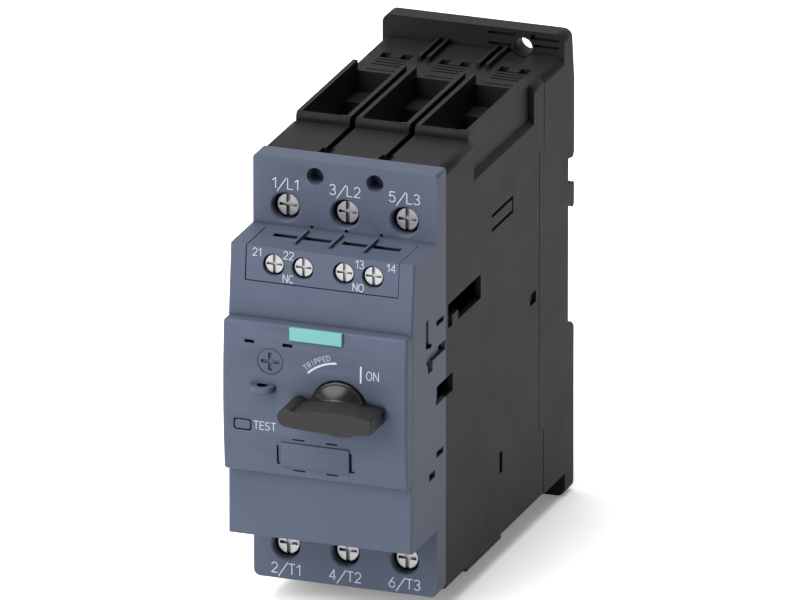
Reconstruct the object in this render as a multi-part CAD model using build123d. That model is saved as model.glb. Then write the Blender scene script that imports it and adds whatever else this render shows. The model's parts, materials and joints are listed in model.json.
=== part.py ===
from build123d import *
import math
import os

# Three-pole motor protection breaker with rotary handle, box terminals and a
# transverse auxiliary switch.
#
# Frame: the origin is on the seat plane of the 35 mm rail, at the rail's centre
# line and the breaker's mid width. +X is to the right seen from the front, +Y to
# the rear (towards the rail) and +Z up. All sizes are in millimetres.
# Depths written as at(d) are counted rearwards from the terminal face.

# ---- Driving dimensions: outside ----
width = 55.0
height = 140.0                  # over both fixing flanges
body_top = 63.3
body_bottom = -63.0
face_depth = 109.6              # terminal face to rail seat plane
back_y = 4.9                    # rear face of the base
shell_depth = 7.5               # front shell behind the terminal face
part_line = 85.0                # main housing to base, middle zone
part_line_ends = 88.9           # main housing to base, top and bottom zones
part_step_z = (-43.2, 41.9)     # heights where the parting line steps
wall_side = 1.65
wall = 2.0

# ---- Front ----
nose_front = -20.5              # depth of the box that stands out of the face
nose_bottom = -42.8
nose_top = 43.0
nose_lean_z = 21.5              # above this the box leans back
nose_top_front = -18.5
cover_half = 22.5               # half of the 45 mm panel cut-out height
cover_front = -25.3
badge_x = (-7.4, 8.3)
badge_z = (18.55, 22.4)
badge_back = -24.2
label_back = -24.0
eyelet_x = -15.2
eyelet_z = (2.95, 4.7)
eye_r = 1.6
aux_x = (-22.5, 22.9)
aux_z = (33.1, 43.0)
aux_gap = 0.3                   # auxiliary switch to the edge of its pocket

# ---- Operator ----
knob_x = 7.5
knob_disc_r = 8.2
dome_r = 7.3
handle_front = -37.2
handle_back = cover_front - 0.3
shaft_r = 3.0
cam_r = 11.0
cam_drop = 4.3                  # stroke of the carrier for a quarter turn
dial_x, dial_z = -13.2, 11.5
dial_r = 3.7
dial_stem_r = 2.0
button_x, button_z = -21.5, -8.15
button_w, button_h = 4.6, 2.7

# ---- Poles and terminals ----
pitch = 17.8
poles = (-pitch, 0.0, pitch)
between_poles = (-pitch / 2, pitch / 2)
line_z = 48.5
load_z = -52.9
well_rim_top = 65.9
well_rim_bottom = -65.6
well_half = 8.05
well_wall = 1.4
line_block = (30.4, 80.5)       # depths of the terminal blocks
load_block = (29.0, 61.0)
line_floor = 42.2               # heights of the clamps' chambers
load_floor = -46.6
screw_r = 3.0
head_r = 3.4
head_depth = 2.3
seat_depth = 5.8
line_bar_depth = 51.0
load_bar_depth = 47.0
bar_t = 2.5
aux_screws = (-14.4, -5.7, 6.5, 15.2)
aux_screw_z = 38.1
aux_seat = -16.4                # depth under the auxiliary screws' heads
aux_screw_r = 1.75
aux_head_r = 2.9

# ---- Contacts ----
tip_upper_z = 24.0
tip_lower_z = 2.0
bridge_depth = 60.3
rod_height = 13.0

# ---- Trip unit ----
coil_z = -15.0
coil_front, coil_back = 35.0, 49.0
trip_bar_depth, trip_bar_z = 22.0, -24.0

# ---- Fastening ----
screw_x, screw_z = pitch / 2, 58.7
fix_x, fix_z, fix_r = 15.0, 65.0, 2.75
fix_head_r = 3.2

# ---- Rail ----
rail_half = 17.5
hook_top = 23.5
upper_section = 31.0
slide_half = 12.0

half = width / 2
inner = half - wall_side


# ---- Shape helpers ----
def at(depth):
    """Y of a depth behind the terminal face."""
    return depth - face_depth


def block(x0, x1, d0, d1, z0, z1):
    """Box between two corners, its Y limits as depths behind the terminal face."""
    size = Box(x1 - x0, d1 - d0, z1 - z0)
    return Pos((x0 + x1) / 2, at((d0 + d1) / 2), (z0 + z1) / 2) * size


def rod_y(x, z, d0, d1, r):
    """Round bar along Y between two depths."""
    return Pos(x, at((d0 + d1) / 2), z) * Rot(90, 0, 0) * Cylinder(r, d1 - d0)


def rod_x(x0, x1, d, z, r):
    """Round bar along X at one depth and height."""
    return Pos((x0 + x1) / 2, at(d), z) * Rot(0, 90, 0) * Cylinder(r, x1 - x0)


def rod_z(x, d, z0, z1, r):
    """Round bar along Z at one depth."""
    return Pos(x, at(d), (z0 + z1) / 2) * Cylinder(r, z1 - z0)


def cone_y(x, z, d0, d1, r0, r1):
    """Cone along Y with radius r0 at depth d0 and r1 at depth d1."""
    return Pos(x, at((d0 + d1) / 2), z) * Rot(-90, 0, 0) * Cone(r0, r1, d1 - d0)


def side_profile(points, x0, x1):
    """Plate along X whose outline is given as (depth, z) points."""
    outline = Polygon(*[(at(d), z) for d, z in points], align=None)
    return extrude(Plane.YZ.offset(x0) * outline, amount=x1 - x0, dir=(1, 0, 0))


def front_profile(sketch, d0, d1):
    """Plate along Y from a sketch drawn in x and z, between two depths."""
    plane = Plane(origin=(0, at(d1), 0), x_dir=(1, 0, 0), z_dir=(0, -1, 0))
    return extrude(plane * sketch, amount=d1 - d0, dir=(0, -1, 0))


def both_sides(shape):
    """A shape and its mirror image in the middle plane."""
    return shape + mirror(shape, about=Plane.YZ)


def group(shapes):
    """Several separate solids kept in one node."""
    return Compound(children=[solid for shape in shapes for solid in shape.solids()])


def coil_spring(centre, direction, length, radius, wire_r, turns):
    """Helical compression spring that starts at centre and runs along direction."""
    helix = Helix(pitch=length / turns, height=length, radius=radius)
    start = helix @ 0
    section = Plane(origin=start, z_dir=helix % 0) * Circle(wire_r)
    spring = sweep(section, path=helix, is_frenet=True)
    return Plane(origin=centre, z_dir=direction) * spring


# ---- Housings ----
def front_windows():
    """Accessory windows in the side walls of the front shell."""
    low, high = half - wall_side - 0.5, half + 1
    shared = [
        block(low, high, -0.5, 5.7, 18.4, 20.1),
        block(half - 1.0, high, -8.7, 4.0, 9.4, 12.3),
        block(low, high, 3.8, 7.0, 9.4, 12.3),
        block(low, high, -7.4, -3.6, 6.6, 9.5),
        block(low, high, -0.3, 5.4, -20.9, -19.1),
        block(low, high, -6.3, -1.5, -25.9, -23.8),
    ]
    right_only = [
        side_profile([(-9.2, 14.6), (-5.2, 13.8), (-4.2, 14.2), (-4.6, 15.0),
                      (-6.9, 15.7), (-6.9, 23.0), (-9.0, 22.6)], low, high),
        block(half - 1.0, high, -1.0, 2.7, -5.0, 0.4),
        block(low, high, 2.6, shell_depth + 1, -5.0, 0.4),
    ]
    return [both_sides(cut) for cut in shared] + right_only


def main_windows():
    """Accessory windows and latch outlines in the side walls of the main housing."""
    low, high = half - wall_side - 0.5, half + 1
    shared = [
        block(low, high, 45.4, 63.2, 35.4, 36.3),
        block(low, high, 45.4, 63.2, 31.2, 32.1),
        block(low, high, 62.3, 63.2, 31.2, 36.3),
        block(low, high, 52.0, 54.5, -43.8, -37.5),
    ]
    right_only = [
        block(low, high, shell_depth - 1, 13.0, -5.0, 0.4),
        block(low, high, 9.2, 36.2, 14.6, 21.8) - block(low, high, 12.6, 17.5, 14.6, 17.6),
    ]
    return [both_sides(cut) for cut in shared] + right_only


def main_housing():
    steps = [(shell_depth, body_bottom), (shell_depth, body_top), (part_line_ends, body_top),
             (part_line_ends, part_step_z[1]), (part_line, part_step_z[1]),
             (part_line, part_step_z[0]), (part_line_ends, part_step_z[0]),
             (part_line_ends, body_bottom)]
    shell = side_profile(steps, -half, half)
    top_edges = [e for e in shell.edges().filter_by(Axis.Y) if (e @ 0.5).Z > body_top - 0.1]
    shell = fillet(top_edges, 2.5)
    shell = fillet([e for e in shell.edges().filter_by(Axis.Y)
                    if (e @ 0.5).Z < body_bottom + 0.1], 0.8)
    shell -= block(-inner, inner, 0, 95, body_bottom + wall, body_top - wall)
    # pole partitions, with gaps for the contact carrier and the trip slide
    wall_plan = [(31.0, 39.8), (80.8, 39.8), (80.8, body_top - wall + 0.1),
                 (84.5, body_top - wall + 0.1), (84.5, body_bottom + wall - 0.1),
                 (61.4, body_bottom + wall - 0.1), (61.4, -44.2), (31.0, -44.2)]
    for x in between_poles:
        web = side_profile(wall_plan, x - 0.9, x + 0.9)
        web -= block(x - 2, x + 2, 52.0, 78.0, rod_height - 5.2, rod_height + 5.2)
        web -= block(x - 2, x + 2, 55.0, 71.0, -17.2, -10.4)
        shell += web
    # opening for the line terminal block: top wall and the upper strip of the sides
    shell -= block(-inner, inner, *line_block, 55, 70)
    ledge_z = 53.25
    ledge = block(inner - 0.01, half + 1, *line_block, ledge_z, 75)
    bevel = Polygon((inner - 0.01, ledge_z), (half + 0.5, ledge_z), (half + 0.5, ledge_z - 2.15),
                    align=None)
    ledge += front_profile(bevel, *line_block)
    shell -= both_sides(ledge)
    # opening for the load terminal block
    shell -= block(-inner, inner, *load_block, -70, -60)
    # slots for the phase barriers between the poles, each with a thin floor
    for x in between_poles:
        shell += block(x - 2.0, x + 2.0, 12.2, 30.4, 60.3, body_top - wall + 0.1)
        shell += block(x - 2.0, x + 2.0, 12.2, 29.0, body_bottom + wall - 0.1, -60.0)
        shell -= block(x - 1.9, x + 1.9, 7.0, 11.7, 60, 70)
        shell -= block(x - 0.95, x + 0.95, 11.0, 31.0, body_top - wall, 70)
        shell -= block(x - 0.95, x + 0.95, 7.0, 29.5, -70, body_bottom + wall)
    # arc vents in the top wall
    for x in poles:
        for d in (82.8, 85.0, 87.2):
            shell -= block(x - 4.35, x + 4.35, d - 0.4, d + 0.4, 60, 70)
    for cut in main_windows():
        shell -= cut
    # shallow latch pockets near the parting line
    shell -= both_sides(block(half - 1.0, half + 1, 77.5, 82.5, -2.2, 1.2))
    return shell


def base_housing():
    front = [(part_line_ends, body_bottom), (part_line_ends, part_step_z[0]),
             (part_line, part_step_z[0]), (part_line, part_step_z[1]),
             (part_line_ends, part_step_z[1]), (part_line_ends, body_top)]
    seat, back = face_depth, face_depth + back_y
    flange_top, flange_bottom = height / 2, -height / 2
    rear = [(106.1, body_top), (106.1, flange_top), (back - 2.1, flange_top),
            (back, 54.4), (back, upper_section + 1.2), (back - 1.2, upper_section),
            (seat, upper_section + 0.6), (seat, hook_top), (back, hook_top - 0.3),
            (back, rail_half - 0.9), (back - 0.9, rail_half - 1.7), (seat, rail_half),
            (seat, -rail_half - 0.2), (seat + 2.0, -rail_half - 0.7),
            (seat + 3.8, -rail_half - 1.7), (back, -rail_half - 2.9),
            (back, flange_bottom), (107.2, flange_bottom), (107.2, body_bottom)]
    shell = side_profile(front + rear, -half, half)
    corners = [e for e in shell.edges().filter_by(Axis.Y)
               if abs((e @ 0.5).Z) > height / 2 - 0.1]
    shell = fillet(corners, 2.5)
    top_edges = [e for e in shell.edges().filter_by(Axis.Y)
                 if abs((e @ 0.5).Z - body_top) < 0.1 and abs(abs((e @ 0.5).X) - half) < 0.1]
    shell = fillet(top_edges, 2.5)
    shell -= block(-inner, inner, 80, 104.0, body_bottom + wall, body_top - wall)
    # shadow groove along the parting line
    for z0, z1, d in ((body_bottom, part_step_z[0], part_line_ends),
                      (part_step_z[0], part_step_z[1], part_line),
                      (part_step_z[1], body_top - 2.5, part_line_ends)):
        shell -= both_sides(block(half - 0.35, half + 1, d - 0.1, d + 0.35, z0, z1))
    # vent windows with a tongue, one per pole, and the rib pairs between the poles
    for x in poles:
        window = block(x - 4.5, x + 4.5, part_line_ends - 1, 93.1, 60, 70)
        tongue = block(x - 1.8, x + 1.6, 89.5, 93.2, 60, 70)
        shell -= window - tongue
    for x in between_poles:
        for side in (-1.35, 1.35):
            rib = block(x + side - 0.5, x + side + 0.5, 89.2, 106.2, body_top - 0.2,
                        body_top + 1.6)
            shell += rib
    # fixing holes with room for the screw head, and the slots of the spring arms
    shell -= rod_y(fix_x, fix_z, 100, 120, fix_r)
    shell -= rod_y(-fix_x, -fix_z, 100, 120, fix_r)
    shell -= rod_y(fix_x, fix_z, 97.0, 106.1, fix_head_r)
    shell -= rod_y(-fix_x, -fix_z, 97.0, 107.2, fix_head_r)
    for x0, x1, z in ((4.5, 13.0, 68.3), (4.5, 11.6, 65.1), (17.2, 25.8, 67.9),
                      (18.2, 25.8, 65.7)):
        shell -= block(x0, x1, 100, 120, z - 0.4, z + 0.4)
    shell -= block(11.6, 13.0, 100, 120, 68.3, 69.0)
    shell -= block(17.2, 18.6, 100, 120, 67.9, 69.0)
    # channel for the rail slide: a T slot open to the rear, and the spring pocket
    wide, narrow = slide_half + 0.15, slide_half - 1.85
    shell -= block(-wide, wide, seat + 0.65, seat + 2.75, -75, -20.0)
    shell -= block(-narrow, narrow, seat + 2.74, back + 1, -75, -17)
    shell -= block(-narrow, narrow, seat + 0.65, back + 1, -20.1, -17)
    shell -= block(-3.2, 3.2, seat - 4.6, seat + 0.7, -46.0, -28.0)
    return shell


def well_hollow(x, d0, d1, z0, z1):
    """Hollow of one terminal well between its side walls."""
    reach = well_half - well_wall
    return block(x - reach, x + reach, d0, d1, z0, z1)


def line_terminal_block():
    front = line_block[0]
    body = block(-inner, inner, *line_block, 40.0, body_top)
    for x in poles:
        chimney = block(x - well_half, x + well_half, front, 77.4, 53.0, well_rim_top)
        lip = [e for e in chimney.edges().filter_by(Axis.X)
               if (e @ 0.5).Z > well_rim_top - 0.1 and (e @ 0.5).Y < at(front + 0.6)]
        body += fillet(lip, 1.6)
    for x in between_poles:
        body -= block(x - 0.85, x + 0.85, 30.0, 77.4, 53.0, 70)
    for x in poles:
        body -= well_hollow(x, line_block[0] + well_wall, 76.0, 57.0, well_rim_top + 1)
        body -= well_hollow(x, line_block[0] + well_wall, 66.7, line_floor, 61.0)
        # the rear wall stops level with the top of the housing
        body -= well_hollow(x, 75.9, 78.0, body_top, well_rim_top + 1)
        # relief under the ledge, the bar's slot in the floor and the screw's hole
        body -= block(x - 6.65, x + 6.65, 68.3, 79.0, 39.0, 55.4)
        body -= block(x - 4.5, x + 4.5, line_bar_depth, line_bar_depth + bar_t, 39, 43)
        body -= rod_y(x, line_z, front - 1, front + 2, screw_r + 0.4)
        body -= block(x - 4.35, x + 4.35, 77.9, 78.6, 58, 70)
    return body


def load_terminal_block():
    front = load_block[0]
    body = block(-inner, inner, *load_block, body_bottom, -44.4)
    for x in poles:
        body += block(x - well_half, x + well_half, front, 58.0, well_rim_bottom, -60)
    for x in between_poles:
        body -= block(x - 0.85, x + 0.85, 28.0, 58.0, -70, -55.0)
    for x in poles:
        body -= well_hollow(x, load_block[0] + well_wall, 56.6, well_rim_bottom - 1, load_floor)
        body -= well_hollow(x, load_block[0] + well_wall, 59.2, -59.4, load_floor)
        body -= block(x - 4.5, x + 4.5, load_bar_depth, load_bar_depth + bar_t, -48, -43)
        body -= rod_y(x, load_z, front - 1, front + 2, screw_r + 0.4)
    return body


def front_housing():
    plate = block(-half, half, 0, shell_depth, body_bottom, body_top)
    plate = fillet([e for e in plate.edges().filter_by(Axis.Y) if (e @ 0.5).Z < 0], 2.0)
    plate = fillet([e for e in plate.edges().filter_by(Axis.Y)
                    if (e @ 0.5).Z > 0 and abs((e @ 0.5).X) > half - 0.1], 1.0)
    nose = side_profile([(1.0, nose_bottom), (nose_front, nose_bottom),
                         (nose_front, nose_lean_z), (nose_top_front, nose_top),
                         (1.0, nose_top)], -half, half)
    front_edges = [e for e in nose.edges() if (e @ 0.5).Y < at(nose_top_front) + 0.1
                   and abs((e @ 0.5).X) > half - 0.1]
    nose = fillet(front_edges, 0.8)
    shell = plate + nose
    shell -= block(-inner, inner, wall, shell_depth + 1, body_bottom + wall, body_top - wall)
    shell -= side_profile([(wall + 1, nose_bottom + wall), (nose_front + wall, nose_bottom + wall),
                           (nose_front + wall, nose_lean_z), (nose_top_front + wall,
                           nose_top - wall), (wall + 1, nose_top - wall)], -inner, inner)
    # pocket for the auxiliary switch
    pocket_x0, pocket_x1 = aux_x[0] - aux_gap, aux_x[1] + 0.15
    pocket_z = aux_z[0] - aux_gap
    liner = block(pocket_x0 - 1.6, pocket_x1 + 1.6, -16.0, -1.4, pocket_z - 1.6, nose_top)
    shell += liner
    shell -= block(pocket_x0, pocket_x1, -25, -3.0, pocket_z, nose_top + 1)
    for x in aux_screws:
        shell -= block(x - 2.2, x + 2.2, -10.4, -9.2, pocket_z - 3, pocket_z + 1)
    # window behind the operator cover
    shell -= block(-25.2, 25.2, -22, -18, -20.0, 15.8)
    # terminal screw tunnels
    for x in poles:
        for z in (line_z, load_z):
            shell += rod_y(x, z, 0.6, shell_depth, 5.4)
            shell -= rod_y(x, z, -1, seat_depth + 0.1, 4.1)
            shell -= rod_y(x, z, seat_depth, shell_depth + 1, screw_r + 0.08)
            shell -= cone_y(x, z, -0.01, 0.5, 4.6, 4.1)
    # blind holes in front of the housing screws
    for x in (-screw_x, screw_x):
        shell += rod_y(x, screw_z, 0.6, 6.8, 3.6)
        shell -= rod_y(x, screw_z, -1, 5.6, 2.53)
    for cut in front_windows():
        shell -= cut
    # notches behind the auxiliary switch
    for x in (-9.9, 0.4, 10.9):
        shell -= block(x - 0.45, x + 0.45, -0.3, 1.0, nose_top + 0.1, nose_top + 0.9)
    return shell


def cover_outline():
    """Side outline of the operator cover: slightly bowed front."""
    foot, crown = at(cover_front + 1.2), at(cover_front + 0.8)
    back = at(nose_front)
    front = ThreePointArc((foot, -cover_half), (at(cover_front), 0), (crown, cover_half))
    rest = Polyline((crown, cover_half), (back, cover_half), (back, -cover_half),
                    (foot, -cover_half))
    return make_face([front, rest])


def operator_cover():
    cover = extrude(Plane.YZ.offset(-half) * cover_outline(), amount=width, dir=(1, 0, 0))
    rim = [e for e in cover.edges() if (e @ 0.5).Y < at(nose_front) - 1
           and (abs((e @ 0.5).X) > half - 0.1 or abs((e @ 0.5).Z) > cover_half - 0.1)]
    cover = fillet(rim, 0.9)
    cover -= block(-inner, inner, cover_front + 2.4, nose_front + 1, -cover_half + 1.8,
                   cover_half - 1.8)
    # knob opening, dial opening, test button opening
    cover -= rod_y(knob_x, 0, -30, -18, knob_disc_r + 0.3)
    cover -= rod_y(dial_x, dial_z, -30, -18, dial_r + 0.15)
    opening = Pos(button_x, button_z) * RectangleRounded(button_w + 0.8, button_h + 0.8, 0.9)
    cover -= front_profile(opening, -30, -18)
    # slots for setting marks and label holder
    for x in (-19.45, -8.1):
        cover -= block(x - 1.5, x + 1.5, -30, -18, 16.3, 17.3)
    for z in (-11.0, -20.4):
        for x in (-4.75, 5.1):
            cover -= block(x - 1.75, x + 1.75, -30, -23.6, z - 0.22, z + 0.22)
    for x in (-11.1, 10.7):
        cover -= block(x - 0.28, x + 0.28, -30, -23.6, -19.0, -13.2)
        cover -= block(x, x + 1.1, -30, -23.6, -19.0, -18.5)
    cover -= block(-10.1, 10.4, -30, label_back, -19.2, -12.1)
    # sealing eyelet with a D-shaped eye that runs on into the cover
    low, high = eyelet_z
    lug = block(eyelet_x - 3.6, eyelet_x + 3.6, cover_front - 3.4, cover_front + 1.5, low, high)
    lug = fillet([e for e in lug.edges().filter_by(Axis.Z)
                  if (e @ 0.5).Y < at(cover_front)], 2.6)
    cover += lug
    eye = rod_z(eyelet_x, cover_front - 0.9, low - 1, high, eye_r)
    eye += block(eyelet_x - eye_r, eyelet_x + eye_r, cover_front - 0.9, cover_front, low - 1, high)
    eye += block(eyelet_x - eye_r, eyelet_x + eye_r, cover_front - 0.1, cover_front + 3, low + 0.4, high)
    cover -= eye
    # seat of the badge plate on the upper edge
    cover -= block(badge_x[0], badge_x[1], cover_front - 1, badge_back, badge_z[0], badge_z[1])
    return cover


def label_plate():
    plate = block(-10.05, 10.35, cover_front - 0.05, label_back, -19.15, -12.15)
    return fillet(plate.edges().filter_by(Axis.Y), 0.4)


def badge_plate():
    plate = block(badge_x[0], badge_x[1], cover_front - 0.1, badge_back, badge_z[0], badge_z[1])
    front = [e for e in plate.edges() if (e @ 0.5).Y < at(cover_front)]
    return chamfer(front, 0.15)


def aux_switch_housing():
    lean = (nose_top_front - nose_front) / (nose_top - nose_lean_z)
    low_front = nose_front + lean * (aux_z[0] - nose_lean_z)
    shell = side_profile([(low_front, aux_z[0]), (nose_top_front, aux_z[1]),
                          (-3.1, aux_z[1]), (-3.1, aux_z[0])], aux_x[0], aux_x[1])
    shell -= block(aux_x[0] + 1.2, aux_x[1] - 1.2, -15.4, -4.3, aux_z[0] - 1, aux_z[1] - 1.2)
    shell += block(0.1, 0.7, -15.5, -4.2, aux_z[0], aux_z[1] - 1)
    for x in (-10.05, 10.85):
        shell += block(x - 0.5, x + 0.5, -15.5, -4.2, aux_z[0], aux_z[1] - 1)
    for x in aux_screws:
        shell -= rod_y(x, aux_screw_z, -25, aux_seat, aux_head_r + 0.35)
        shell -= rod_y(x, aux_screw_z, -18, -15, aux_screw_r + 0.06)
    # wire entries and the ribs between them
    for x0, x1 in ((-18.4, -1.1), (2.2, 19.6)):
        shell -= block(x0, x1, -9.3, -6.4, aux_z[1] - 2, aux_z[1] + 1)
        shell -= block(x0, x1, -6.5, -4.4, aux_z[1] - 2, aux_z[1] - 0.35)
    for x in (-9.9, 0.4, 10.8):
        rib = block(x - 0.4, x + 0.4, -14.0, -3.1, aux_z[1] - 1.2, aux_z[1] + 0.9)
        shell += rib
    return shell


def housing_screws():
    """Long screws that hold front shell, main housing and base together."""
    shapes = []
    for x in (-screw_x, screw_x):
        screw = rod_y(x, screw_z, 9.0, 11.5, 2.4) + rod_y(x, screw_z, 11.4, 26.0, 1.5)
        screw -= block(x - 1.8, x + 1.8, 8.9, 9.9, screw_z - 0.35, screw_z + 0.35)
        shapes.append(screw)
    return group(shapes)


# ---- Terminals ----
def slotted_head(x, z, d0, d1, r, slot, cut_depth):
    """Cheese head with a combined slot and cross recess."""
    head = rod_y(x, z, d0, d1, r)
    head = chamfer(head.edges().group_by(Axis.Y)[0], 0.25)
    head -= block(x - slot / 2, x + slot / 2, d0 - 1, d0 + cut_depth, z - r - 1, z + r + 1)
    head -= block(x - r * 0.78, x + r * 0.78, d0 - 1, d0 + cut_depth, z - slot * 0.4,
                  z + slot * 0.4)
    return head


def terminal_screw(x, z, tip_depth):
    head = slotted_head(x, z, head_depth, seat_depth, head_r, 1.1, 1.3)
    shank = rod_y(x, z, seat_depth - 0.1, tip_depth, screw_r)
    return head + shank


def terminal_clamp(x, z, d0):
    """Box clamp: a square frame whose front wall rides on the screw."""
    frame = block(x - 6.2, x + 6.2, d0, d0 + 21.0, z - 6.0, z + 6.0)
    frame -= block(x - 4.9, x + 4.9, d0 + 4.0, d0 + 19.0, z - 7, z + 7)
    frame = fillet(frame.edges().filter_by(Axis.Z).group_by(Axis.Y)[-1], 1.2)
    frame -= rod_y(x, z, d0 - 1, d0 + 5, screw_r + 0.06)
    return frame


def aux_screw(x):
    head = slotted_head(x, aux_screw_z, aux_seat - 1.7, aux_seat, aux_head_r, 0.8, 0.8)
    return head + rod_y(x, aux_screw_z, aux_seat - 0.1, -10.6, aux_screw_r)


def aux_clamp(x):
    low, high = aux_screw_z - 2.8, aux_screw_z + 2.8
    frame = block(x - 3.0, x + 3.0, -13.3, -5.4, low, high)
    frame -= block(x - 2.2, x + 2.2, -11.9, -6.6, low - 1, high + 1)
    frame -= rod_y(x, aux_screw_z, -14, -11, aux_screw_r + 0.05)
    return frame


def tip(x, z, d0, d1, r=2.5):
    """Round contact tip."""
    return rod_y(x, z, d0, d1, r)


def line_bars():
    """Line terminal bar of each pole with the upper fixed contact tip."""
    back = line_bar_depth + bar_t
    return group([block(x - 4.4, x + 4.4, line_bar_depth, back, tip_upper_z - 4, 53.0)
                  + tip(x, tip_upper_z, back - 0.1, back + 1.2) for x in poles])


def middle_bars():
    """Bar from the lower fixed contact tip to the trip coil."""
    back = line_bar_depth + bar_t
    return group([block(x - 4.4, x + 4.4, line_bar_depth, back, -7.0, tip_lower_z + 4)
                  + tip(x, tip_lower_z, back - 0.1, back + 1.2) for x in poles])


def load_bars():
    """Angle from the foot of the bimetal strip down into the load clamp."""
    return group([block(x - 4.4, x + 4.4, load_bar_depth, load_bar_depth + bar_t, -57.5, -41.5)
                  + block(x - 4.4, x + 4.4, load_bar_depth, 68.0, -43.5, -41.5)
                  for x in poles])


# ---- Contact system ----
def contact_carrier():
    """Insulating bar with one window per pole and the rod to the handle's cam."""
    bar = block(-23.5, 23.5, 74.0, 77.0, rod_height - 4.0, rod_height + 4.0)
    for x in poles:
        frame = block(x - 5.5, x + 5.5, 56.5, 77.0, rod_height - 4.0, rod_height + 4.0)
        frame -= block(x - 3.1, x + 3.1, bridge_depth, 73.0, rod_height - 5, rod_height + 5)
        bar += frame
    rod = block(-2.5, 2.5, 8.0, 57.0, rod_height - 3.0, rod_height + 3.0)
    pad = block(-2.5, knob_x - 0.2, 8.0, 11.0, 7.0, rod_height + 3.0)
    return bar + rod + pad


def contact_bridges():
    shapes = []
    for x in poles:
        bridge = block(x - 3.0, x + 3.0, bridge_depth, bridge_depth + 1.8,
                       tip_lower_z - 3, tip_upper_z + 3)
        for z in (tip_lower_z, tip_upper_z):
            bridge += tip(x, z, bridge_depth - 1.2, bridge_depth + 0.1)
        shapes.append(bridge)
    return group(shapes)


def contact_springs():
    start = bridge_depth + 1.8 + 0.45
    return group([coil_spring((x, at(start), rod_height), (0, 1, 0), 73.0 - start - 0.45, 2.4, 0.4, 5)
                  for x in poles])


def arc_plates():
    """Stacks of steel splitter plates above and below the contact carrier."""
    shapes = []
    for x in poles:
        for start in (tip_upper_z - 3.6, tip_lower_z - 11.4):
            for step in range(7):
                z = start + step * 2.3
                plate = block(x - 7.0, x + 7.0, 64.0, 80.0, z, z + 0.9)
                plate -= block(x - 2.0, x + 2.0, 63.0, 69.0, z - 1, z + 2)
                shapes.append(plate)
    return group(shapes)


# ---- Magnetic and thermal trip ----
def trip_coil(x):
    """Winding of one pole's short-circuit coil."""
    start = coil_front + 1.2 + 0.9
    length = coil_back - coil_front - 2.4 - 1.8
    return coil_spring((x, at(start), coil_z), (0, 1, 0), length, 5.2, 0.85, 5)


def coil_bobbins():
    shapes = []
    for x in poles:
        body = rod_y(x, coil_z, coil_front, coil_back, 4.1)
        for d in (coil_front, coil_back - 1.0):
            body += rod_y(x, coil_z, d, d + 1.0, 6.6)
        body -= rod_y(x, coil_z, coil_front - 1, coil_back + 1, 3.1)
        shapes.append(body)
    return group(shapes)


def coil_yokes():
    """Steel frame around each coil."""
    shapes = []
    for x in poles:
        yoke = block(x - 5.0, x + 5.0, coil_front - 1.2, coil_back + 1.2, coil_z - 8.2, coil_z + 5)
        yoke -= block(x - 6, x + 6, coil_front, coil_back, coil_z - 7.0, coil_z + 6)
        yoke -= rod_y(x, coil_z, coil_front - 2, coil_front + 1, 1.5)
        yoke -= rod_y(x, coil_z, coil_back - 1, coil_back + 2, 3.1)
        shapes.append(yoke)
    return group(shapes)


def trip_plunger(x):
    """Armature that the coil draws forward, with the striker pin."""
    core = rod_y(x, coil_z, coil_front + 3.0, coil_back + 3.0, 3.0)
    pin = rod_y(x, coil_z, 28.0, coil_front + 3.1, 1.4)
    return core + pin


def trip_bar():
    """Rocking shaft in front of the striker pins, with one finger per pole."""
    bar = rod_x(-24.5, 24.5, trip_bar_depth, trip_bar_z, 1.8)
    for x in poles:
        bar += block(x - 2.0, x + 2.0, trip_bar_depth - 1.0, trip_bar_depth + 3.2,
                     trip_bar_z, coil_z + 2.0)
    return bar


def bimetal_strips():
    return group([block(x - 0.5, x + 0.5, 58.0, 66.0, -41.5, -13.0) for x in poles])


def heater_windings():
    return group([coil_spring((x, at(62.0), -39.0), (0, 0, 1), 20.0, 5.0, 0.5, 7)
                  for x in poles])


def trip_slide():
    """Slide that the bimetal strips push to the right."""
    plate = block(-24.0, 22.8, 58.0, 68.0, -12.2, -11.0)
    for x in poles:
        plate += block(x + 0.9, x + 2.1, 60.0, 64.0, -16.0, -12.1)
    return plate


# ---- Operator ----
def handle_outline():
    """Front outline of the turning handle: bowed flanks and a round nose to the left."""
    nose_x, nose_r, tail_x, neck_x = -11.5, 2.7, 13.8, -10.2
    top = ThreePointArc((neck_x, 1.9), (0, 3.0), (tail_x, 2.1))
    tail = Line((tail_x, 2.1), (tail_x, -2.2))
    low = ThreePointArc((tail_x, -2.2), (0, -3.2), (nose_x, -nose_r))
    nose = Polyline((nose_x, -nose_r), (nose_x, 1.9), (neck_x, 1.9))
    return make_face([top, tail, low, nose]) + Pos(nose_x, 0) * Circle(nose_r)


def knob_disc():
    """Turned disc with a domed middle and a rounded rim."""
    apex, rim, foot = at(cover_front - 2.6), at(cover_front - 1.1), at(cover_front + 2.0)
    round_over = 0.5
    ball_r = (dome_r ** 2 + (rim - apex) ** 2) / (2 * (rim - apex))
    half_way = (dome_r / 2, apex + ball_r - math.sqrt(ball_r ** 2 - dome_r ** 2 / 4))
    edge = knob_disc_r - round_over
    corner = (knob_disc_r - round_over * 0.293, rim + round_over * 0.293)
    outline = make_face([
        ThreePointArc((0, apex), half_way, (dome_r, rim)),
        Line((dome_r, rim), (edge, rim)),
        ThreePointArc((edge, rim), corner, (knob_disc_r, rim + round_over)),
        Polyline((knob_disc_r, rim + round_over), (knob_disc_r, foot), (0, foot), (0, apex)),
    ])
    return Pos(knob_x, 0, 0) * revolve(outline, Axis.Y)


def knob():
    body = front_profile(Pos(knob_x, 0) * handle_outline(), handle_front, handle_back)
    body = fillet([e for e in body.edges() if (e @ 0.5).X > knob_x + 13.7], 0.45)
    body += knob_disc()
    body -= block(knob_x - 2.0, knob_x + 2.0, -26.5, cover_front + 3.0, -2.0, 2.0)
    return body


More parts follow.
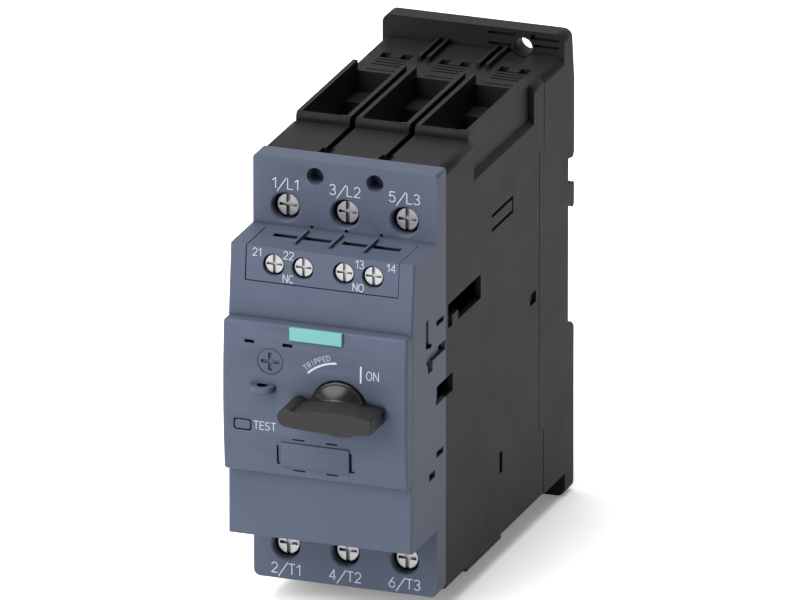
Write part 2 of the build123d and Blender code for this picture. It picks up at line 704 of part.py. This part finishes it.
def cam_ramp():
    """Face cam: full height under the carrier's pad at rest, falling through a
    quarter turn. Fine steps follow the helical ramp."""
    steps = 18
    pieces = []
    for index in range(-6, steps + 1):
        start = 90 + 5 * index
        drop = cam_drop * max(index, 0) / steps
        wedge = Polygon((0, 0), polar(cam_r, start), polar(cam_r + 0.4, start + 2.5),
                        polar(cam_r, start + 5), align=None)
        pieces.append(front_profile(Pos(knob_x, 0) * wedge, 1.0, 7.6 - drop - 0.3))
    ramp = pieces[0].fuse(*pieces[1:])
    return ramp & rod_y(knob_x, 0, 0, 9, cam_r)


def polar(radius, degrees):
    """Point in x and z at an angle counted anticlockwise from +X seen from the front."""
    angle = math.radians(degrees)
    return (radius * math.cos(angle), radius * math.sin(angle))


def knob_shaft():
    square = block(knob_x - 1.98, knob_x + 1.98, -26.3, -16.0, -1.98, 1.98)
    shaft = rod_y(knob_x, 0, -17.0, 12.0, shaft_r)
    plate = rod_y(knob_x, 0, -1.0, 1.1, cam_r)
    return square + shaft + plate + cam_ramp()


def mechanism_frame():
    """Bent steel frame that carries the handle's shaft."""
    x0, x1 = knob_x - 16.0, knob_x + 14.5
    frame = block(x0, x1, -15.0, -13.4, -15.5, 15.5)
    frame += block(x0, x0 + 1.5, -15.0, 6.0, -15.5, 15.5)
    frame += block(x1 - 1.5, x1, -15.0, 6.0, -15.5, 15.5)
    frame -= rod_y(knob_x, 0, -17, -12, shaft_r + 0.05)
    # bearing tab of the setting dial and seat of the test button's spring
    frame += block(-17.6, x0 + 0.1, -15.0, -13.4, 7.4, 15.4)
    frame -= rod_y(dial_x, dial_z, -17, -12, dial_stem_r + 0.05)
    frame += block(-24.8, x0 + 0.1, -12.8, -11.4, -11.4, -5.2)
    frame -= rod_y(button_x, button_z, -14, -10, 1.5)
    return frame


def setting_dial():
    dial = rod_y(dial_x, dial_z, cover_front + 0.2, -20.0, dial_r)
    dial += rod_y(dial_x, dial_z, -20.1, -11.5, dial_stem_r)
    long, thin, depth = 2.65, 0.5, cover_front + 0.8
    dial -= block(dial_x - long, dial_x + long, -30, depth, dial_z - thin, dial_z + thin)
    dial -= block(dial_x - thin, dial_x + thin, -30, depth, dial_z - long, dial_z + long)
    return dial


def test_button():
    cap = front_profile(Pos(button_x, button_z) * RectangleRounded(button_w, button_h, 0.8),
                        cover_front + 0.2, -19.5)
    stem = block(button_x - 1.0, button_x + 1.0, -19.6, -8.0, button_z - 0.8, button_z + 0.8)
    return cap + stem


def test_button_spring():
    return coil_spring((button_x, at(-19.2), button_z), (0, 1, 0), 6.1, 1.9, 0.25, 6)


# ---- Auxiliary contacts ----
def aux_fixed_contacts():
    shapes = []
    for x in aux_screws:
        bar = block(x - 2.0, x + 2.0, -10.2, -9.4, 24.0, 41.0)
        opens = x > 0
        bar += tip(x, 26.0, -9.5, -8.8, 1.2) if opens else tip(x, 26.0, -10.8, -10.1, 1.2)
        shapes.append(bar)
    return group(shapes)


def aux_bridge_pair(x0, x1, tip_front, tip_back, plate_front, plate_back):
    plate = block(x0 - 1.8, x1 + 1.8, plate_front, plate_back, 24.6, 27.4)
    for x in (x0, x1):
        plate += tip(x, 26.0, tip_front, tip_back, 1.2)
    return plate


def aux_contact_bridges():
    breaker_pair = aux_bridge_pair(-14.4, -5.7, -11.5, -10.85, -12.05, -11.45)
    maker_pair = aux_bridge_pair(6.5, 15.2, -6.25, -5.6, -5.65, -5.05)
    return group([breaker_pair, maker_pair])


def aux_contact_carrier():
    base = block(-14.0, 15.0, -14.0, -3.5, 20.6, 23.4)
    left = block(-11.2, -8.9, -14.0, -8.0, 23.3, 29.0)
    left -= block(-12, -8, -12.05, -11.45, 24.6, 27.4)
    right = block(9.7, 12.0, -8.0, -3.5, 23.3, 29.0)
    right -= block(9, 13, -5.65, -5.05, 24.6, 27.4)
    return base + left + right


# ---- Rail fixing ----
def rail_slide():
    """Spring-loaded hook for the lower edge of the rail, with a release eye below."""
    seat = face_depth
    plate = block(-slide_half, slide_half, seat + 0.7, seat + 2.7, -69.5, -20.05)
    plate += block(-slide_half + 2.0, slide_half - 2.0, seat + 2.6, seat + 4.7, -69.5, -20.05)
    nose = side_profile([(seat + 1.3, -20.2), (seat + 1.3, -16.4), (seat + 2.2, -15.9),
                         (seat + 4.7, -18.6), (seat + 4.7, -20.2)],
                        -slide_half + 2.0, slide_half - 2.0)
    plate += nose
    plate += block(-2.8, 2.8, seat - 4.2, seat + 0.8, -31.0, -29.2)
    plate -= block(-3.5, 3.5, seat, seat + 6, -67.5, -65.0)
    return plate


def rail_slide_spring():
    return coil_spring((0, at(face_depth - 2.1), -45.5), (0, 0, 1), 14.0, 1.7, 0.4, 6)


# ---- Export ----
def save(name, shape):
    export_step(shape, os.path.join("parts", name + ".step"))


def build():
    nodes = {
        "base_housing": base_housing(),
        "main_housing": main_housing(),
        "front_housing": front_housing(),
        "operator_cover": operator_cover(),
        "line_terminal_block": line_terminal_block(),
        "load_terminal_block": load_terminal_block(),
        "aux_switch_housing": aux_switch_housing(),
        "label_plate": label_plate(),
        "badge_plate": badge_plate(),
        "housing_screws": housing_screws(),
        "line_bars": line_bars(),
        "middle_bars": middle_bars(),
        "load_bars": load_bars(),
        "arc_plates": arc_plates(),
        "coil_bobbins": coil_bobbins(),
        "coil_yokes": coil_yokes(),
        "bimetal_strips": bimetal_strips(),
        "heater_windings": heater_windings(),
        "mechanism_frame": mechanism_frame(),
        "aux_fixed_contacts": aux_fixed_contacts(),
        "test_button_spring": test_button_spring(),
        "rail_slide_spring": rail_slide_spring(),
        "knob": knob(),
        "knob_shaft": knob_shaft(),
        "contact_carrier": contact_carrier(),
        "contact_bridges": contact_bridges(),
        "contact_springs": contact_springs(),
        "aux_contact_carrier": aux_contact_carrier(),
        "aux_contact_bridges": aux_contact_bridges(),
        "trip_bar": trip_bar(),
        "trip_slide": trip_slide(),
        "test_button": test_button(),
        "setting_dial": setting_dial(),
        "rail_slide": rail_slide(),
    }
    for number, x in enumerate(poles, start=1):
        nodes[f"trip_coil_{number}"] = trip_coil(x)
        nodes[f"trip_plunger_{number}"] = trip_plunger(x)
        nodes[f"line_screw_{number}"] = terminal_screw(x, line_z, line_bar_depth - 0.8)
        nodes[f"load_screw_{number}"] = terminal_screw(x, load_z, load_bar_depth - 0.8)
        nodes[f"line_clamp_{number}"] = terminal_clamp(x, line_z, line_bar_depth - 9.5)
        nodes[f"load_clamp_{number}"] = terminal_clamp(x, load_z, load_bar_depth - 9.5)
    for number, x in enumerate(aux_screws, start=1):
        nodes[f"aux_screw_{number}"] = aux_screw(x)
        nodes[f"aux_clamp_{number}"] = aux_clamp(x)
    return nodes


os.makedirs("parts", exist_ok=True)
for node_name, node_shape in build().items():
    save(node_name, node_shape)
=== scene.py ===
import json
import math
import bpy
from mathutils import Matrix, Vector


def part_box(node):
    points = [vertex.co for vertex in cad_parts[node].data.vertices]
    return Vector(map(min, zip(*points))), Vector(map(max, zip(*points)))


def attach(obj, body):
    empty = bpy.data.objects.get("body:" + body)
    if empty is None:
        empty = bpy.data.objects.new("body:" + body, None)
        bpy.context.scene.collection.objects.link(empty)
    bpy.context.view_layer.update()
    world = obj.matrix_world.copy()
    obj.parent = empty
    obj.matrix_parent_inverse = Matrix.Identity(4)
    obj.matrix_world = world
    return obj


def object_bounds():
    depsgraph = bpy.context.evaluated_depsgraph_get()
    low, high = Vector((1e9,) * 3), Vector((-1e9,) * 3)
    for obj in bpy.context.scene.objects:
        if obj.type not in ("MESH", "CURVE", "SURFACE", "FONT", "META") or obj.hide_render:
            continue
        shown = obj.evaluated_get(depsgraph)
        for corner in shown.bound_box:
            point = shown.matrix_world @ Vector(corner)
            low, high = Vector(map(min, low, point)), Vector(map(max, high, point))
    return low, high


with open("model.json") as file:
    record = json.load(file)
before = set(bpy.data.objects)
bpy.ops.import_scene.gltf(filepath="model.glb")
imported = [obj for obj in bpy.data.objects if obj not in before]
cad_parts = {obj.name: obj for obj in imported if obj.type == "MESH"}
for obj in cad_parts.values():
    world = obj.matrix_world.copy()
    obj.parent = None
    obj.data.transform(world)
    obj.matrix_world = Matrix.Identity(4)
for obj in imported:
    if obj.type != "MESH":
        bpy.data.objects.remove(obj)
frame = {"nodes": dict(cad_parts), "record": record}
nodes = frame["nodes"]
cad_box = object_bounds()
MM = 0.001

# ---- Places on the frame ----
front_low, front_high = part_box("front_housing")
cover_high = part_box("operator_cover")[1]
knob_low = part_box("knob")[0]
SHELL_DEPTH = 7.5 * MM
FACE_Y = front_high.y - SHELL_DEPTH     # plane of the terminal labels
NOSE_Y = front_low.y                    # front of the raised box
LEAN_FROM = cover_high.z - 1.0 * MM     # above this the raised box leans back
LEAN = 2.0 / 21.5                       # how far it leans for each unit of height
GRIP_HEIGHT = 9.2 * MM                  # from the grip's front to the disc's
COVER_REACH = 25.3 * MM                 # from the terminal face to the cover's front


def centre(node):
    low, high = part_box(node)
    return (low + high) / 2


def face_surface(x, z):
    return FACE_Y


def nose_surface(x, z):
    return NOSE_Y + max(0.0, z - LEAN_FROM) * LEAN


def cover_surface(x, z):
    """Front of the operator cover: an arc through its foot, middle and crown."""
    half = cover_high.z
    middle = FACE_Y - COVER_REACH
    foot_drop, crown_drop = 1.2 * MM, 0.8 * MM
    tilt = (crown_drop - foot_drop) / (2 * half)
    bow = (crown_drop + foot_drop) / (2 * half * half)
    return middle + tilt * z + bow * z * z


# ---- Materials ----
def new_material(name):
    material = bpy.data.materials.new(name)
    material.use_nodes = True
    tree = material.node_tree
    shader = tree.nodes["Principled BSDF"]
    coords = tree.nodes.new("ShaderNodeTexCoord")
    return material, tree, shader, coords.outputs["Object"]


NOISE_RANGE = (0.3, 0.7)                # where most values of a noise lie


def noise(tree, coords, size, detail=2.0, stretch=(1, 1, 1)):
    """Noise whose features are about size metres across."""
    mapping = tree.nodes.new("ShaderNodeMapping")
    mapping.inputs["Scale"].default_value = [s / size for s in stretch]
    tree.links.new(coords, mapping.inputs["Vector"])
    texture = tree.nodes.new("ShaderNodeTexNoise")
    texture.inputs["Scale"].default_value = 1.0
    texture.inputs["Detail"].default_value = detail
    tree.links.new(mapping.outputs["Vector"], texture.inputs["Vector"])
    return texture.outputs["Fac"]


def remap(tree, value, source, target):
    """Maps a value from one range of two numbers to another, and clamps it."""
    ranger = tree.nodes.new("ShaderNodeMapRange")
    ranger.inputs["From Min"].default_value, ranger.inputs["From Max"].default_value = source
    ranger.inputs["To Min"].default_value, ranger.inputs["To Max"].default_value = target
    tree.links.new(value, ranger.inputs["Value"])
    return ranger.outputs["Result"]


def tint(tree, shader, value, colour, change):
    """Base colour that wanders a little around one colour."""
    ramp = tree.nodes.new("ShaderNodeValToRGB")
    low, high = ramp.color_ramp.elements
    low.position, high.position = NOISE_RANGE
    low.color = [c * (1 - change) for c in colour] + [1]
    high.color = [c * (1 + change) for c in colour] + [1]
    tree.links.new(value, ramp.inputs["Fac"])
    tree.links.new(ramp.outputs["Color"], shader.inputs["Base Color"])


def paint_recess_shade(tree, shader, reach, darkest):
    """Painted shade: darkens the base colour by ambient occlusion where slots, wells and screw
    recesses would fall into shade.
    """
    colour = shader.inputs["Base Color"].links[0].from_socket
    open_sky = tree.nodes.new("ShaderNodeAmbientOcclusion")
    open_sky.samples = 8
    open_sky.inputs["Distance"].default_value = reach
    shade = remap(tree, open_sky.outputs["AO"], (0.25, 0.72), (darkest, 1.0))
    darker = tree.nodes.new("ShaderNodeVectorMath")
    darker.operation = "SCALE"
    tree.links.new(colour, darker.inputs[0])
    tree.links.new(shade, darker.inputs["Scale"])
    tree.links.new(darker.outputs["Vector"], shader.inputs["Base Color"])


def bump(tree, shader, layers):
    """Stacks bump layers given as (height value, depth in metres)."""
    normal = None
    for value, depth in layers:
        node = tree.nodes.new("ShaderNodeBump")
        node.inputs["Strength"].default_value = 1.0
        node.inputs["Distance"].default_value = depth
        tree.links.new(value, node.inputs["Height"])
        if normal is not None:
            tree.links.new(normal, node.inputs["Normal"])
        normal = node.outputs["Normal"]
    tree.links.new(normal, shader.inputs["Normal"])


def plastic(name, colour, rough=0.5, grain=0.00035, depth=0.000008, change=0.03, gloss=0.13):
    """Moulded plastic: spark-eroded grain, faint flow marks and uneven gloss."""
    material, tree, shader, coords = new_material(name)
    cloud = noise(tree, coords, 0.012, 3.0)
    fine = noise(tree, coords, grain, 2.0)
    tint(tree, shader, cloud, colour, change)
    roughness = remap(tree, cloud, NOISE_RANGE, (rough - 0.02, rough + 0.03))
    tree.links.new(roughness, shader.inputs["Roughness"])
    streaks = noise(tree, coords, 0.006, 2.0, (1.0, 0.2, 1.0))
    bump(tree, shader, [(fine, depth), (streaks, 0.000006)])
    shader.inputs["Specular IOR Level"].default_value = gloss
    # painted shade: base colour darkened by ambient occlusion in slots, wells and recesses
    paint_recess_shade(tree, shader, 3.0 * MM, 0.12)
    return material


def handle_plastic():
    """Black grip with a fine grain; the disc behind it is polished."""
    material, tree, shader, coords = new_material("handle_plastic")
    cloud = noise(tree, coords, 0.008, 3.0)
    fine = noise(tree, coords, 0.0003, 2.0)
    tint(tree, shader, cloud, (0.0085, 0.0086, 0.009), 0.05)
    bump(tree, shader, [(fine, 0.000003)])
    axes = tree.nodes.new("ShaderNodeSeparateXYZ")
    tree.links.new(coords, axes.inputs["Vector"])
    disc_front = knob_low.y + GRIP_HEIGHT
    polish = remap(tree, axes.outputs["Y"], (disc_front - 0.3 * MM, disc_front), (0.58, 0.2))
    tree.links.new(polish, shader.inputs["Roughness"])
    shader.inputs["Specular IOR Level"].default_value = 0.3
    return material


def metal(name, colour, rough=0.3, stretch=(1, 1, 1), depth=0.000006, change=0.08):
    """Plated or bare metal: drawn lines, dull patches and fine scratches."""
    material, tree, shader, coords = new_material(name)
    shader.inputs["Metallic"].default_value = 1.0
    patches = noise(tree, coords, 0.0025, 3.0)
    lines = noise(tree, coords, 0.0005, 2.0, stretch)
    tint(tree, shader, patches, colour, change)
    roughness = remap(tree, patches, NOISE_RANGE, (rough - 0.07, rough + 0.1))
    tree.links.new(roughness, shader.inputs["Roughness"])
    bump(tree, shader, [(lines, depth)])
    # painted shade: base colour darkened by ambient occlusion in screw recesses and crevices
    paint_recess_shade(tree, shader, 1.2 * MM, 0.25)
    return material


FRONT_GREY = (0.056, 0.068, 0.1)
materials = {
    "front_plastic": plastic("front_plastic", FRONT_GREY, 0.55),
    "housing_plastic": plastic("housing_plastic", (0.0098, 0.0098, 0.0107), 0.55, change=0.08,
                               gloss=0.08),
    "handle_plastic": handle_plastic(),
    "dial_plastic": plastic("dial_plastic", (0.054, 0.065, 0.096), 0.5),
    "badge_plastic": plastic("badge_plastic", (0.1, 0.27, 0.265), 0.45, depth=0.000003, gloss=0.3),
    "inner_plastic": plastic("inner_plastic", (0.09, 0.08, 0.065), 0.6),
    "slide_plastic": plastic("slide_plastic", (0.016, 0.016, 0.018), 0.5),
    "screw_steel": metal("screw_steel", (0.33, 0.33, 0.335), 0.4),
    "clamp_steel": metal("clamp_steel", (0.34, 0.34, 0.33), 0.45),
    "copper": metal("copper", (0.50, 0.29, 0.18), 0.36, (1, 1, 0.1)),
    "plate_steel": metal("plate_steel", (0.30, 0.30, 0.30), 0.42, (0.1, 1, 1)),
    "bimetal": metal("bimetal", (0.30, 0.28, 0.25), 0.45, (1, 1, 0.1)),
    "spring_steel": metal("spring_steel", (0.36, 0.36, 0.36), 0.32),
}
materials["print_ink"] = plastic("print_ink", (0.36, 0.385, 0.43), 0.55, depth=0.000002)
for entry in frame["record"]["subparts"]:
    mesh = nodes[entry["node"]].data
    mesh.materials.clear()
    mesh.materials.append(materials[entry["material_slot"]])

scene = bpy.context.scene


# ---- Rounded edges on the moulded and cut parts ----
def soften(node, radius, segments=2, angle=32):
    """Rounds the sharp edges of a CAD node for the light to catch."""
    piece = nodes[node]
    weld = piece.modifiers.new("weld", "WELD")
    weld.merge_threshold = 0.000002
    flat = piece.modifiers.new("flat", "DECIMATE")
    flat.decimate_type = "DISSOLVE"
    flat.angle_limit = math.radians(0.6)
    rounding = piece.modifiers.new("rounding", "BEVEL")
    rounding.width = radius
    rounding.segments = segments
    rounding.limit_method = "ANGLE"
    rounding.angle_limit = math.radians(angle)
    rounding.use_clamp_overlap = True
    rounding.harden_normals = True


# Radius in millimetres for each node; a name that ends in _ stands for a numbered group.
ROUNDING = {
    "front_housing": 0.25, "operator_cover": 0.15, "main_housing": 0.25, "base_housing": 0.3,
    "line_terminal_block": 0.22, "load_terminal_block": 0.22, "aux_switch_housing": 0.15,
    "knob": 0.3, "rail_slide": 0.25, "label_plate": 0.1, "badge_plate": 0.1, "test_button": 0.15,
    "setting_dial": 0.1, "line_screw_": 0.15, "load_screw_": 0.15, "aux_screw_": 0.1,
    "line_clamp_": 0.2, "load_clamp_": 0.2,
}
for node in nodes:
    kind = node.rstrip("1234")
    if kind in ROUNDING:
        soften(node, ROUNDING[kind] * MM)


# ---- Printed markings ----
LIFT = 0.03 * MM
INK_LAYER = 0.0015 * MM
STROKE = 0.095                          # stroke width for a letter one unit high
GAP = 0.21                              # space between letters


def bend(cx, cy, rx, ry, start, end, steps=10):
    """Part of an ellipse as a list of points, angles in degrees."""
    turns = [math.radians(start + (end - start) * i / steps) for i in range(steps + 1)]
    return [(cx + rx * math.cos(t), cy + ry * math.sin(t)) for t in turns]


# Each letter: its width, then its strokes in a cell one unit high.
LETTERS = {
    "1": (0.34, [[(0.02, 0.76), (0.3, 1), (0.3, 0)]]),
    "2": (0.56, [bend(0.28, 0.72, 0.28, 0.28, 165, -35) + [(0, 0), (0.56, 0)]]),
    "3": (0.56, [bend(0.26, 0.76, 0.26, 0.24, 150, -90), bend(0.26, 0.26, 0.3, 0.26, 90, -150)]),
    "4": (0.6, [[(0.44, 0), (0.44, 1), (0, 0.27), (0.6, 0.27)]]),
    "5": (0.56, [[(0.52, 1), (0.07, 1), (0.03, 0.56)] + bend(0.26, 0.32, 0.3, 0.32, 120, -150)]),
    "6": (0.58, [[(0.42, 1), (0.05, 0.42)], bend(0.29, 0.29, 0.29, 0.29, 0, 360, 18)]),
    "/": (0.74, [[(-0.08, -0.3), (0.82, 1.08)]]),
    "L": (0.5, [[(0, 1), (0, 0), (0.5, 0)]]),
    "T": (0.58, [[(0, 1), (0.58, 1)], [(0.29, 1), (0.29, 0)]]),
    "N": (0.58, [[(0, 0), (0, 1), (0.58, 0), (0.58, 1)]]),
    "C": (0.58, [bend(0.31, 0.5, 0.31, 0.5, 50, 310, 16)]),
    "O": (0.64, [bend(0.32, 0.5, 0.32, 0.5, 0, 360, 20)]),
    "I": (0.06, [[(0.03, 0), (0.03, 1)]]),
    "R": (0.54, [[(0, 0), (0, 1), (0.28, 1)] + bend(0.28, 0.74, 0.24, 0.26, 90, -90)
                 + [(0, 0.48)], [(0.26, 0.48), (0.54, 0)]]),
    "P": (0.54, [[(0, 0), (0, 1), (0.28, 1)] + bend(0.28, 0.73, 0.26, 0.27, 90, -90)
                 + [(0, 0.46)]]),
    "E": (0.5, [[(0.5, 1), (0, 1), (0, 0), (0.5, 0)], [(0, 0.52), (0.44, 0.52)]]),
    "D": (0.58, [[(0, 0), (0, 1), (0.2, 1)] + bend(0.2, 0.5, 0.38, 0.5, 90, -90) + [(0, 0)]]),
    "S": (0.54, [bend(0.27, 0.75, 0.25, 0.25, 35, 270) + bend(0.27, 0.25, 0.27, 0.25, 90, -145)]),
}


class Print:
    """Collects flat strokes that lie on one curved or plane surface."""

    def __init__(self, surface):
        self.surface = surface
        self.points = []
        self.faces = []
        self.strokes = 0

    def add(self, corners, layer=0):
        """One flat face; overlapping neighbours lie on different thin layers."""
        base = len(self.points)
        for x, z in corners:
            x, z = x * MM, z * MM
            self.points.append((x, self.surface(x, z) - LIFT - layer * INK_LAYER, z))
        self.faces.append([base + i for i in range(len(corners))])

    def stroke(self, line, thick):
        """Ribbon with round ends and corners, points in millimetres."""
        half = thick / 2
        self.strokes += 1
        layer = 4 * (self.strokes % 3)
        for i, ((x0, z0), (x1, z1)) in enumerate(zip(line, line[1:])):
            length = max(math.hypot(x1 - x0, z1 - z0), 1e-9)
            nx, nz = -(z1 - z0) / length * half, (x1 - x0) / length * half
            self.add([(x0 - nx, z0 - nz), (x1 - nx, z1 - nz), (x1 + nx, z1 + nz),
                      (x0 + nx, z0 + nz)], layer + i % 2)
        for i, (x, z) in enumerate(line):
            self.add(bend(x, z, half, half, 0, 330, 11), layer + 2 + i % 2)

    def text(self, text, x, z, height, turn=0.0):
        """Text centred on a place, its letters drawn with strokes."""
        total = sum(LETTERS[letter][0] + GAP for letter in text) - GAP
        start = -total / 2
        c, s = math.cos(turn), math.sin(turn)
        for letter in text:
            letter_width, strokes = LETTERS[letter]
            for line in strokes:
                local = [((start + u) * height, (v - 0.5) * height) for u, v in line]
                self.stroke([(x + u * c - v * s, z + u * s + v * c) for u, v in local],
                            STROKE * height)
            start += letter_width + GAP

    def make(self, name):
        mesh = bpy.data.meshes.new(name)
        mesh.from_pydata(self.points, [], self.faces)
        mesh.materials.append(materials["print_ink"])
        piece = bpy.data.objects.new(name, mesh)
        scene.collection.objects.link(piece)
        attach(piece, "breaker")
        return piece


terminals = Print(face_surface)
for number in (1, 2, 3):
    line_x = centre(f"line_screw_{number}").x / MM
    load_x = centre(f"load_screw_{number}").x / MM
    terminals.text(f"{2 * number - 1}/L{number}", line_x, 55.5, 3.0)
    terminals.text(f"{2 * number}/T{number}", load_x, -59.9, 3.0)
terminals.make("terminal_print")

aux_print = Print(nose_surface)
for text, x, z in (("21", -19.4, 41.3), ("22", -10.0, 41.3), ("13", 11.2, 41.3),
                   ("14", 20.6, 41.3), ("NC", -9.9, 34.6), ("NO", 11.0, 34.6)):
    aux_print.text(text, x, z, 2.2)
aux_print.make("auxiliary_print")

cover_print = Print(cover_surface)
knob_x = centre("knob_shaft").x / MM
band_r, letter_r = 13.4, 15.0           # radii of the tripped band and its letters
cover_print.stroke([(13.9, 8.6), (13.9, 13.2)], 0.5)
cover_print.text("ON", 17.4, 10.9, 2.5)
cover_print.text("TEST", -14.8, -7.9, 2.3)
cover_print.stroke(bend(-4.9, -5.9, 1.2, 1.5, 0, 360, 24), 0.4)
cover_print.stroke(bend(knob_x, 0, band_r, band_r, 94.7, 133.5, 24), 0.6)
for i, letter in enumerate("TRIPPED"):
    angle = math.radians(131.8 - i * 4.85)
    cover_print.text(letter, knob_x + letter_r * math.cos(angle), letter_r * math.sin(angle), 1.5,
                     angle - math.pi / 2)
cover_print.make("cover_print")

# ---- Camera, lights and floor ----
azimuth, elevation = math.radians(20), math.radians(20)
right = Vector((math.cos(azimuth), math.sin(azimuth), 0))
view_dir = Vector((-math.sin(azimuth) * math.cos(elevation),
                   math.cos(azimuth) * math.cos(elevation), -math.sin(elevation)))
up = right.cross(view_dir)
camera = bpy.data.objects.new("camera", bpy.data.cameras.new("camera"))
scene.collection.objects.link(camera)
scene.camera = camera
camera.data.lens = 1150                 # very long: the view is nearly parallel
camera.data.sensor_width = 36
FRAME_WIDTH = 226.05 * MM               # what the view takes in across
aim_right, aim_up, aim_ahead = -22.04 * MM, -13.65 * MM, -62.7 * MM
distance = FRAME_WIDTH * camera.data.lens / camera.data.sensor_width
target = right * aim_right + up * aim_up + view_dir * aim_ahead
camera.location = target - view_dir * distance
camera.rotation_mode = "QUATERNION"
camera.rotation_quaternion = view_dir.to_track_quat("-Z", "Y")
camera.data.clip_start, camera.data.clip_end = 1.0, 12.0

scene.view_settings.view_transform = "Standard"
world = bpy.data.worlds.new("world")
scene.world = world
world.use_nodes = True
sky = world.node_tree
background = sky.nodes["Background"]
background.inputs["Color"].default_value = (1, 1, 1, 1)
direction = sky.nodes.new("ShaderNodeTexCoord").outputs["Generated"]
axes = sky.nodes.new("ShaderNodeSeparateXYZ")
sky.links.new(direction, axes.inputs["Vector"])
# bright behind the object, dim in front of it and to its right
behind = remap(sky, axes.outputs["Y"], (0.1, 0.8), (0.12, 1.25))
right_side = remap(sky, axes.outputs["X"], (0.1, 0.7), (1.0, 0.35))
strength = sky.nodes.new("ShaderNodeMath")
strength.operation = "MULTIPLY"
sky.links.new(behind, strength.inputs[0])
sky.links.new(right_side, strength.inputs[1])
sky.links.new(strength.outputs["Value"], background.inputs["Strength"])


def area_light(name, place, size, energy):
    light = bpy.data.lights.new(name, "AREA")
    light.shape = "DISK"
    light.size = size
    light.energy = energy
    lamp = bpy.data.objects.new(name, light)
    lamp.location = place
    lamp.rotation_mode = "QUATERNION"
    lamp.rotation_quaternion = (-Vector(place)).to_track_quat("-Z", "Y")
    scene.collection.objects.link(lamp)


area_light("key_light", (-1.1, -2.0, 1.1), 2.2, 80)
area_light("top_light", (-0.3, -0.5, 2.2), 2.4, 75)

floor_mesh = bpy.data.meshes.new("floor")
reach = 6.0
floor_z = cad_box[0].z - 0.3 * MM
floor_mesh.from_pydata([(-reach, -reach, floor_z), (reach, -reach, floor_z),
                        (reach, reach, floor_z), (-reach, reach, floor_z)], [], [(0, 1, 2, 3)])
floor = bpy.data.objects.new("floor", floor_mesh)
scene.collection.objects.link(floor)
floor_mat, floor_tree, floor_shader, floor_coords = new_material("floor")
tint(floor_tree, floor_shader, noise(floor_tree, floor_coords, 0.3), (0.95, 0.95, 0.95), 0.004)
floor_shader.inputs["Roughness"].default_value = 0.9
floor_shader.inputs["Emission Color"].default_value = (1, 1, 1, 1)
floor_shader.inputs["Emission Strength"].default_value = 0.2
floor_mesh.materials.append(floor_mat)
